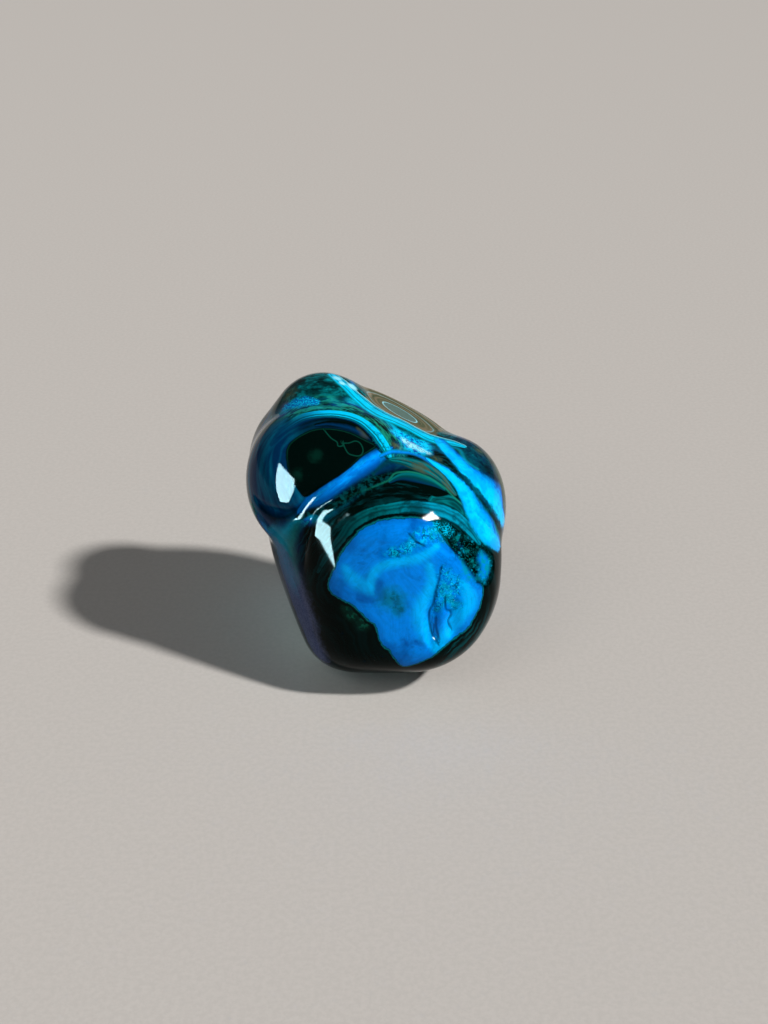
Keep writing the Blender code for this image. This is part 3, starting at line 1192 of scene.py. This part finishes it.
    def arches(self, under):
        """Layers that arch between the eye lobe and the blue face."""
        colour = self.band(
            under, "wedge", ((0.0, self.deep_teal), (0.5, self.navy), (1.0, self.dark)),
            0.6, 0.2, 0.1, 0.9,
        )
        colour = self.band(
            colour, "olive",
            (
                (0.0, self.deep_teal), (0.2, self.teal), (0.45, self.deep_teal),
                (0.6, self.teal), (0.8, self.deep_teal), (1.0, self.deep_teal),
            ),
            0.35, 0.14, 0.10,
        )
        rust = self.both(
            self.layers(self.field("olive"), 2.2, 0.25, 0.42, 0.60),
            self.mark("olive_off", 1.0, 0.7), self.fade(self.x, 3.0, 9.0),
        )
        colour = self.mix(rust, colour, self.olive, 0.7)
        colour = self.band(
            colour, "thin_blue", ((0.0, self.teal), (0.5, self.azure), (1.0, self.deep_teal)),
            0.4, 0.2, 0.1, 0.9,
        )
        slate = self.fade(self.wavy("slate", 0.08, 0.05), 0.15, -0.1)
        slate_colour = self.mix(self.layers(self.field("slate"), 1.0), self.deep_teal, self.teal)
        colour = self.mix(slate, colour, slate_colour, 0.85)
        colour = self.band(
            colour, "cap", ((0.0, self.teal), (0.45, self.deep_teal), (1.0, self.navy)),
            0.4, 0.1, 0.1,
        )
        lens = self.fade(self.wavy("lens", 0.08, 0.05), 0.12, -0.12)
        colour = self.mix(lens, colour, self.dark)
        faint = self.fade(self.x, -5.0, 6.0, 0.04, 0.6)
        colour = self.line(colour, "green_edge", self.green, 0.12, 0.30, faint)
        belt = self.wavy("teal", 0.30, 0.10)
        # The belt runs from deep teal on the left to lagoon on the right; the lagoon around the
        # key highlight is partly a painted sheen.
        bright = self.mix(self.fade(self.x, -9.0, 3.0), self.deep_teal, self.teal)
        bright = self.mix(self.fade(self.x, 0.0, 13.0), bright, self.lagoon)
        shade = self.ramp(
            self.shift(belt, 0.5, 0.5),
            (
                (0.0, (0.05,) * 3), (0.1, (1.0,) * 3), (0.24, (0.55,) * 3), (0.36, (0.9,) * 3),
                (0.5, (0.3,) * 3), (0.62, (0.8,) * 3), (0.8, (1.0,) * 3), (0.92, (0.1,) * 3),
                (1.0, (0.03,) * 3),
            ),
        )
        paint = self.mix(1.0, bright, shade, blend="MULTIPLY")
        paint = self.mix(self.fade(self.cloud, 0.56, 0.40, 0.0, 0.7), paint, self.dark)
        paint = self.mix(self.layers(belt, 3.0, 0.3), paint, self.deep_teal, 0.3)
        mask = self.fade(self.wavy("teal_off", 0.30, 0.10), 1.15, 0.85)
        return self.mix(mask, colour, paint, 0.95)

    def streaks(self, under):
        """Bright streaks between the front and the right lobe."""
        low = (
            (0.0, self.teal), (0.12, self.blue), (0.28, self.sky), (0.45, self.cyan),
            (0.66, self.cyan), (0.82, self.sky), (0.94, self.lagoon), (1.0, self.deep_teal),
        )
        colour = self.band(under, "streak_low", low, 0.3, 0.2, 0.2)
        high = (
            (0.0, self.navy), (0.16, self.blue), (0.34, self.sky), (0.55, self.cyan),
            (0.82, self.cyan), (0.94, self.sky), (1.0, self.lagoon),
        )
        colour = self.band(colour, "streak_high", high, 0.3, 0.2, 0.2)
        for name in ("streak_low", "streak_high"):
            across = self.field(name)
            near = self.mark(name + "_off", 1.1, 0.6)
            fibre = self.layers(across, 3.0, 0.45, 0.42, 0.62)
            colour = self.mix(self.both(fibre, near, 0.4), colour, self.sky)
            cloud = self.times(self.fade(self.middle, 0.46, 0.60), near)
            colour = self.mix(cloud, colour, self.azure, 0.5)
        blots = self.mix(self.fade(self.fine, 0.46, 0.62), self.dark, self.deep_teal)
        mask = self.fade(self.wavy("blotches_off", 0.4, 0.5), 1.2, 0.4)
        colour = self.mix(mask, colour, blots, 0.9)
        return self.band(
            colour, "right_green", ((0.0, self.teal), (0.5, self.lagoon), (1.0, self.green)),
            0.6, 0.3, 0.3, 0.5,
        )

    def disc(self, under):
        """Ground disc with its rings and its bright rim; its olive-brown tone is partly a
        painted reflection.
        """
        on_disc = self.both(
            self.fade(self.math("ABSOLUTE", self.field("disc")), 0.6, 0.25),
            self.mark("on_brow", -0.6, 0.4),
            self.mark("on_right", -0.3, 0.3),
            self.mark("disc_band", 0.6, 0.0),
        )
        long = self.field("ring_long")
        short = self.times(self.field("ring_short"), 1.0 / BULLSEYE_SHORT)
        radius = self.math("SQRT", self.add(self.times(long, long), self.times(short, short)))
        radius = self.wavy(radius, 0.25, 0.08)
        # Partly painted reflection: the olive-brown between the rings stands for warm light
        # mirrored by the facet; the rings are the stone's own.
        rings = self.mix(self.layers(radius, 0.8, 0.05, 0.35, 0.65), self.olive, self.brown)
        green = self.mix(0.45, self.brown, self.teal)
        rings = self.mix(self.fade(radius, 4.4, 4.0), rings, green)
        for size, strength in zip((BULLSEYE_LONG, *OUTER_RINGS), (0.75, 0.35, 0.3)):
            ring = self.within(radius, size, 0.16, 0.16)
            rings = self.mix(ring, rings, self.pale, strength)
        colour = self.mix(on_disc, under, rings)
        colour = self.band(
            colour, "disc_band",
            (
                (0.0, self.olive), (0.06, self.pale), (0.13, self.teal), (0.2, self.cyan),
                (0.27, self.deep_teal), (0.34, self.cyan), (0.6, self.cyan), (0.7, self.teal),
                (0.8, self.cyan), (1.0, self.teal),
            ),
            0.18, 0.14, 0.10,
        )
        threads = self.layers(self.field("disc_band"), 3.2, 0.4, 0.45, 0.62)
        near = self.mark("disc_band_off", 1.0, 0.7)
        colour = self.mix(self.both(threads, near, 0.45), colour, self.lagoon)
        return self.spots(colour, "pales", self.pale, 0.5, 0.85, 0.3, 0.3)

    def crackle(self, under):
        """Broken bright patch below the disc."""
        value = self.wavy("crackle", 0.7, 0.9)
        broken = self.mix(self.fade(self.fine, 0.40, 0.56), self.blue, self.cyan)
        broken = self.mix(self.fade(self.grit, 0.42, 0.34), broken, self.navy)
        flakes = self.both(
            self.fade(self.wavy("sparks", 0.6, 0.8), 1.8, 0.5), self.fade(self.grit, 0.38, 0.5)
        )
        broken = self.mix(flakes, broken, self.pale)
        return self.mix(self.fade(value, 0.9, -1.0), under, broken)

    def crystal(self):
        """Masks of the crystal beds and of the dark crust."""
        bed = self.math("MINIMUM", self.field("druse_bed"), self.field("druse_arc"))
        bed = self.fade(self.wavy(bed, 0.9, 0.9), 0.5, -1.0)
        crust = self.fade(self.wavy("crystals", 0.8, 0.9), 0.4, -0.7)
        return bed, crust

    def face(self, under, bed, crust):
        """Blue face with its veins, its crystal beds and its dark heart."""
        value = self.wavy("blue_face", 0.45, 0.42)
        paint = self.ramp(
            self.cloud,
            ((0.34, self.blue), (0.50, self.azure), (0.7, self.azure)),
        )
        inner = self.layers(self.field("blue_face"), 0.55, 0.25, 0.42, 0.66)
        paint = self.mix(inner, paint, self.azure, 0.35)
        rim = self.fade(value, -1.8, -0.3)
        paint = self.mix(rim, paint, self.blue, 0.4)
        paint = self.spots(paint, "dusk", self.blue, 0.9, 0.6, 0.6, 0.5)
        for name, strength in (
            ("light_arc", 1.0), ("light_left", 0.75), ("light_right", 1.0), ("light_lobe", 1.0),
        ):
            light = self.fade(self.wavy(name + "_off", 0.3, 0.2), 1.8, 0.1)
            outer = self.fade(self.wavy(name, 0.3, 0.2), -1.0, -0.4, 0.35, 1.0)
            paint = self.mix(self.both(light, outer, strength), paint, self.sky)
        paint = self.spots(paint, "heart", self.teal, 0.9, 0.7, 0.6, 0.5)
        spots = self.both(
            self.mark("heart", 1.0, 0.3), self.fade(self.fine, 0.55, 0.4), 0.5
        )
        paint = self.mix(spots, paint, self.deep_teal)
        haze = self.layers(self.field("blue_face"), 1.6, 0.5, 0.40, 0.66)
        paint = self.mix(haze, paint, self.blue, 0.22)
        specks = self.mix(self.fade(self.fine, 0.38, 0.50), self.navy, self.azure)
        specks = self.mix(self.fade(self.middle, 0.48, 0.6), specks, self.lagoon)
        specks = self.mix(self.fade(self.grit, 0.50, 0.60), specks, self.cyan)
        specks = self.mix(self.fade(self.grit, 0.66, 0.72), specks, self.pale)
        arc = self.both(
            self.mark("druse_arc", 0.6, -0.4), self.fade(self.middle, 0.56, 0.44)
        )
        angular = self.ramp(
            self.shards(1.3),
            (
                (0.0, self.navy), (0.3, self.azure), (0.5, self.teal), (0.62, self.sky),
                (0.78, self.deep_teal), (0.88, self.cyan),
            ), "CONSTANT",
        )
        specks = self.mix(self.blend(arc, 0.25, 0.75), specks, angular)
        paint = self.mix(bed, paint, specks, 0.85)
        paint = self.line(paint, "cracks", self.navy, 0.26, 0.26, 0.65)
        edge_line = self.times(self.within(value, 0.16, 0.12, 0.12), 0.8)
        colour = self.mix(edge_line, under, self.teal)
        colour = self.mix(self.within(value, 0.75, 0.22, 0.14), colour, self.dark)
        colour = self.mix(self.fade(value, 0.06, -0.2), colour, paint)
        rough = self.ramp(
            self.shards(0.75),
            (
                (0.0, self.dark), (0.36, self.deep_teal), (0.58, self.navy), (0.68, self.teal),
                (0.86, self.lagoon),
            ), "CONSTANT",
        )
        rough = self.mix(self.fade(self.fine, 0.62, 0.44, 0.2, 0.9), rough, self.dark)
        rough = self.mix(self.fade(self.grit, 0.58, 0.66), rough, self.teal)
        colour = self.mix(crust, colour, rough, 0.95)
        # Painted glints: cyan specks on the crystals beside the key highlight.
        glitter = self.both(
            self.fade(self.wavy("glitter", 0.5, 0.6), 1.6, 0.5), self.fade(self.grit, 0.48, 0.56)
        )
        colour = self.mix(glitter, colour, self.cyan, 0.85)
        for name in ("side_patch", "shard"):
            patch = self.fade(self.wavy(name, 0.7, 0.8), 0.8, -1.0)
            patch_colour = self.mix(self.fade(self.fine, 0.4, 0.6), self.lagoon, self.azure)
            colour = self.mix(patch, colour, patch_colour, 0.8)
        return colour


def stone_material(look):
    """Polished malachite and chrysocolla."""
    material, shader, tree = new_material(SLOT)
    shade = StoneShade(tree, look)
    bed, crust = shade.crystal()
    colour = shade.front(shade.ground())
    colour = shade.top(colour)
    colour = shade.eye(colour)
    colour = shade.arches(colour)
    colour = shade.disc(colour)
    colour = shade.streaks(colour)
    colour = shade.crackle(colour)
    colour = shade.face(colour, bed, crust)
    depth = shade.ramp(shade.fine, ((0.25, (0.78,) * 3), (0.6, (1.0,) * 3)))
    colour = shade.mix(0.8, colour, depth, blend="MULTIPLY")
    shade.put(shader.inputs["Base Color"], colour)

    face = shade.mark("blue_face", 0.1, -0.1)
    open_crystal = shade.math("MAXIMUM", shade.times(bed, face), crust)
    rough_bed = shade.math("MINIMUM", shade.field("druse_bed"), shade.field("druse_arc"))
    rough_bed = shade.math("MINIMUM", rough_bed, shade.field("crystals"))
    matt = open_crystal
    for mask in (
        shade.mark("matt", 1.3, 0.7), shade.fade(rough_bed, 1.1, 0.5),
        shade.mark("crease_off", 1.3, 0.8),
    ):
        matt = shade.math("MAXIMUM", matt, mask)
    shade.put(shader.inputs["Roughness"], shade.fade(shade.grit, 0.2, 0.9, 0.4, 0.6))
    shade.put(shader.inputs["Coat Weight"], shade.math("SUBTRACT", 1.0, matt))
    shader.inputs["Coat Roughness"].default_value = look.gloss
    shader.inputs["Coat IOR"].default_value = look.index
    shader.inputs["Specular IOR Level"].default_value = 0.0
    grains = shade.cells(shade.place, SPARKLE_DENSITY)["Distance"]
    height = shade.times(open_crystal, shade.add(grains, shade.times(shade.grit, 0.5)))
    shade.bump(shader, height, STONE_BUMP)
    return material


def ground_base(mesh):
    """Cut the body flat at z = 0 and close the cut with one face."""
    body = bmesh.new()
    body.from_mesh(mesh)
    everything = body.verts[:] + body.edges[:] + body.faces[:]
    bmesh.ops.bisect_plane(
        body,
        geom=everything,
        dist=SHORTEST_EDGE,
        plane_co=(0.0, 0.0, 0.0),
        plane_no=(0.0, 0.0, 1.0),
        clear_inner=True,
    )
    rim = [edge for edge in body.edges if edge.is_boundary]
    rim_points = list({vertex for edge in rim for vertex in edge.verts})
    for vertex in rim_points:
        vertex.co.z = 0.0
    bmesh.ops.remove_doubles(body, verts=rim_points, dist=SHORTEST_EDGE)
    rim = [edge for edge in body.edges if edge.is_boundary]
    bmesh.ops.edgeloop_fill(body, edges=rim)
    bmesh.ops.recalc_face_normals(body, faces=body.faces[:])
    body.to_mesh(mesh)
    body.free()


def mesh_points(mesh):
    """Return a mesh's points and normals as arrays."""
    points = np.zeros(len(mesh.vertices) * 3, np.float32)
    normals = np.zeros(len(mesh.vertices) * 3, np.float32)
    mesh.vertices.foreach_get("co", points)
    mesh.vertex_normals.foreach_get("vector", normals)
    return points.reshape(-1, 3).astype(float), normals.reshape(-1, 3).astype(float)


def added(name, data):
    """Add an object with some data to the scene and return it."""
    thing = bpy.data.objects.new(name, data)
    bpy.context.scene.collection.objects.link(thing)
    return thing


def marked_stone(look):
    """Build the fine stone with its markings and return the object."""
    directions, quads = cube_grid(look.cells)
    directions = directions + GRID_LEAN * view_axes()[3]
    directions /= np.linalg.norm(directions, axis=1, keepdims=True)
    mesh = bpy.data.meshes.new("stone")
    mesh.from_pydata(pushed_out(directions).tolist(), [], quads)
    ground_base(mesh)
    points, normals = mesh_points(mesh)
    faces = [tuple(face.vertices) for face in mesh.polygons]
    tree = BVHTree.FromPolygons(points.tolist(), faces)
    fields = marking_distances(points, normals, tree)
    fields.update(lobe_fields(points))
    points += normals * crust_relief(points, fields)[:, None]
    points[:, 0] -= MIDDLE[0]
    points[:, 1] -= MIDDLE[1]
    mesh.vertices.foreach_set("co", (points * MM).astype(np.float32).ravel())
    for name, values in fields.items():
        layer = mesh.attributes.new(name, "FLOAT", "POINT")
        layer.data.foreach_set("value", values.astype(np.float32))
    mesh.materials.append(stone_material(look))
    mesh.shade_smooth()
    mesh.set_sharp_from_angle(angle=math.radians(BASE_CREASE))
    return added("marked_stone", mesh)


def row_place(point):
    """Return a point of the lobes' frame in metres in the frame's own axes."""
    return Vector((point[0] - MIDDLE[0], point[1] - MIDDLE[1], point[2])) * MM


def floor_material(colour):
    """Matt pale paper."""
    material, shader, tree = new_material("pale_floor")
    weave = Weave(tree)
    coordinates = weave.node("ShaderNodeTexCoord").outputs["Object"]
    fibre = weave.noise(coordinates, *FLOOR_NOISE)
    darker = tuple(value * FLOOR_SHADE for value in colour)
    shade = weave.mix(weave.fade(fibre, 0.35, 0.65), tuple(colour), darker)
    weave.put(shader.inputs["Base Color"], shade)
    shader.inputs["Roughness"].default_value = FLOOR_ROUGHNESS
    shader.inputs["Specular IOR Level"].default_value = 0.0
    weave.bump(shader, fibre, FLOOR_BUMP)
    return material


def placed(name, data, place, back):
    """Add a light or a camera at a place, with its back the given way."""
    thing = added(name, data)
    thing.location = place
    thing.rotation_mode = "QUATERNION"
    thing.rotation_quaternion = back.to_track_quat("Z", "Y")
    return thing


def area_light(name, way, distance, size, power, target):
    """Add a rectangular light that faces a target."""
    data = bpy.data.lights.new(name, "AREA")
    data.shape = "RECTANGLE"
    data.size, data.size_y = size
    data.energy = power
    toward = Vector(way).normalized()
    return placed(name, data, target + toward * distance, toward)


class STONE_OT_build_stone(bpy.types.Operator):
    """Build the polished stone over its solid"""

    bl_idname = "stone.build_stone"
    bl_label = "Polished Stone"

    def execute(self, context):
        """Make the stone, and let it stand for the solid."""
        piece = marked_stone(context.scene.stone_look)
        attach(piece, BODY)
        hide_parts(NODE)
        return {"FINISHED"}


class STONE_OT_build_stage(bpy.types.Operator):
    """Build the floor, the lights and the camera"""

    bl_idname = "stone.build_stage"
    bl_label = "Stage"

    def execute(self, context):
        """Make the floor, the lights and the camera."""
        scene = context.scene
        look = scene.stage_look
        mesh = bpy.data.meshes.new("floor")
        reach = look.reach
        mesh.from_pydata(
            [(-reach, -reach, 0), (reach, -reach, 0), (reach, reach, 0), (-reach, reach, 0)],
            [], [(0, 1, 2, 3)],
        )
        mesh.materials.append(floor_material(look.floor))
        floor = added("floor", mesh)

        world = bpy.data.worlds.new("studio")
        world.use_nodes = True
        background = world.node_tree.nodes["Background"]
        background.inputs["Color"].default_value = ROOM_TINT
        background.inputs["Strength"].default_value = ROOM_STRENGTH
        scene.world = world

        middle = row_place(AIM)
        sun_data = bpy.data.lights.new("key", "SUN")
        sun_data.energy = look.key
        sun_data.angle = math.radians(KEY_SPREAD)
        placed("key", sun_data, middle + Vector(KEY_WAY), Vector(KEY_WAY))
        panel = area_light("panel", PANEL_WAY, PANEL_AWAY, PANEL_SIZE, look.panel, middle)
        panel.location += panel.rotation_quaternion @ Vector((0.0, PANEL_RISE, 0.0))
        panel.data.color = PANEL_TINT
        fill = area_light("fill", FILL_WAY, FILL_AWAY, FILL_SIZE, look.fill, middle)
        fill.visible_glossy = False
        glow = area_light("glow", KEY_WAY, GLOW_AWAY, GLOW_SIZE, look.glow, middle)
        for light in (panel, glow):
            light.visible_diffuse = False
            light.visible_camera = False

        place, _, _, back = view_axes()
        data = bpy.data.cameras.new("camera")
        data.lens = LENS
        data.sensor_width = SENSOR
        data.clip_start = CLIP_START
        data.clip_end = CLIP_END
        scene.camera = placed("camera", data, row_place(place), Vector(back))
        scene.view_settings.view_transform = "Standard"
        return {"FINISHED"}


class STONE_PT_sidebar(bpy.types.Panel):
    """Shows the stone's and the stage's settings and their build buttons"""

    bl_label = "Polished Stone"
    bl_idname = "STONE_PT_sidebar"
    bl_space_type = "VIEW_3D"
    bl_region_type = "UI"
    bl_category = "Stone"

    def draw(self, context):
        """Draw the settings and the buttons."""
        column = self.layout.column()
        for look, button in (
            (context.scene.stone_look, STONE_OT_build_stone.bl_idname),
            (context.scene.stage_look, STONE_OT_build_stage.bl_idname),
        ):
            for name in look.bl_rna.properties.keys():
                if name not in {"rna_type", "name"}:
                    column.prop(look, name)
            column.operator(button)


CLASSES = (
    StoneLook, StageLook, STONE_OT_build_stone, STONE_OT_build_stage, STONE_PT_sidebar,
)


def register():
    """Register the classes and the settings."""
    for item in CLASSES:
        bpy.utils.register_class(item)
    bpy.types.Scene.stone_look = PointerProperty(type=StoneLook)
    bpy.types.Scene.stage_look = PointerProperty(type=StageLook)


def unregister():
    """Remove the settings and the classes."""
    del bpy.types.Scene.stage_look
    del bpy.types.Scene.stone_look
    for item in reversed(CLASSES):
        bpy.utils.unregister_class(item)


def main():
    """Build everything."""
    register()
    bpy.ops.stone.build_stone()
    bpy.ops.stone.build_stage()


if __name__ == "__main__":
    main()
